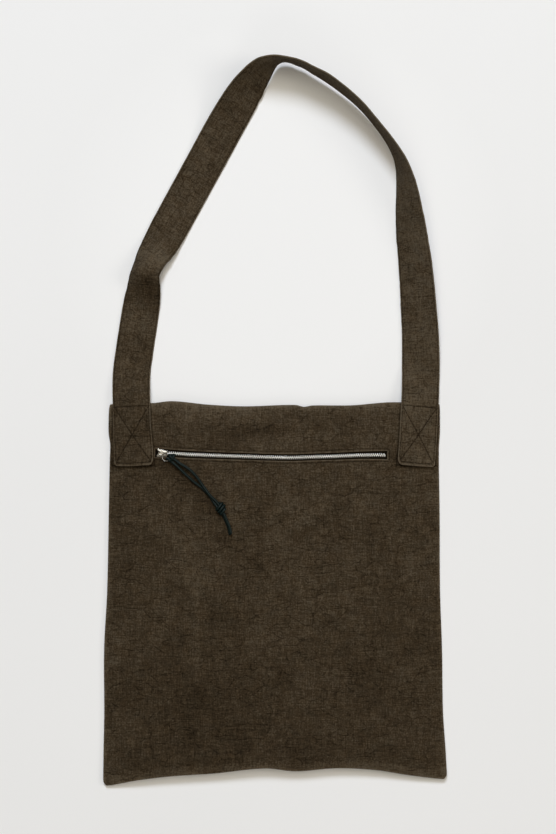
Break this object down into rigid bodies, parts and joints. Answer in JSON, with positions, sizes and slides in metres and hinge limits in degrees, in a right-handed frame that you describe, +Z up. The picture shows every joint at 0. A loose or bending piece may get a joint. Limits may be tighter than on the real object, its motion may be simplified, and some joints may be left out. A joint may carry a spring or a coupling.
{
  "type": "linen shoulder bag",
  "caption": "Flat washed-linen shoulder bag lying on its back, with one long sewn-on strap, an open top and a front metal zip with a knotted leather pull.",
  "frame": {"origin": "centre of the bounding box on the surface the bag lies on", "axes": "+Z up from the surface through the bag's front, +Y from the bag's bottom towards the strap's top, +X to the right seen from above"},
  "size_m": [0.3774, 0.7955, 0.0493],
  "materials": {
    "linen": "washed plain-weave linen, matt, dark brown-olive",
    "zip_tape": "woven tape, matt, very dark brown",
    "zip_teeth": "bright metal teeth",
    "nickel": "warm polished nickel, slightly worn",
    "leather": "waxed round lace, very dark green"
  },
  "bodies": {
    "root": {"back_panel": "linen", "front_panel": "linen", "strap": "linen", "zip_tape_upper": "zip_tape", "zip_tape_lower": "zip_tape", "zip_teeth_upper": "zip_teeth", "zip_teeth_lower": "zip_teeth", "zip_slider": "nickel", "pull_ring": "nickel", "pull_hitch": "leather", "pull_knot": "leather", "pull_strand_upper": "leather", "pull_strand_lower": "leather", "pull_tail_long": "leather", "pull_tail_short": "leather"}
  },
  "joints": []
}
